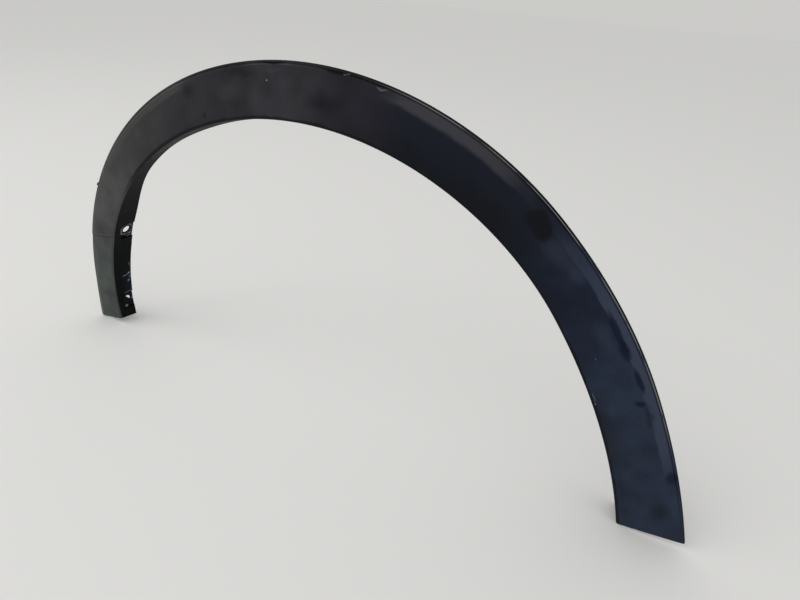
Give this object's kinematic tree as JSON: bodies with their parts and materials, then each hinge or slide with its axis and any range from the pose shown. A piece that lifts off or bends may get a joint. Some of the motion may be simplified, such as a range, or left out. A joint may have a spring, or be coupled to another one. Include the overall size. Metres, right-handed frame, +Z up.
{
  "type": "wheel arch trim",
  "caption": "Moulded black plastic trim that arches over a wheel opening, with a grained face, a beaded outer edge and a return flange with sunk screw pads.",
  "frame": {"origin": "centre of the trim's box, at the level of the feet", "axes": "+X along the car towards the wide foot, +Y into the car, from the face to the flange's rear edge, +Z up"},
  "size_m": [0.918, 0.036, 0.4448],
  "materials": {
    "trim": "fine moulded grain, dusty"
  },
  "bodies": {
    "root": {"arch_trim": "trim"}
  },
  "joints": []
}
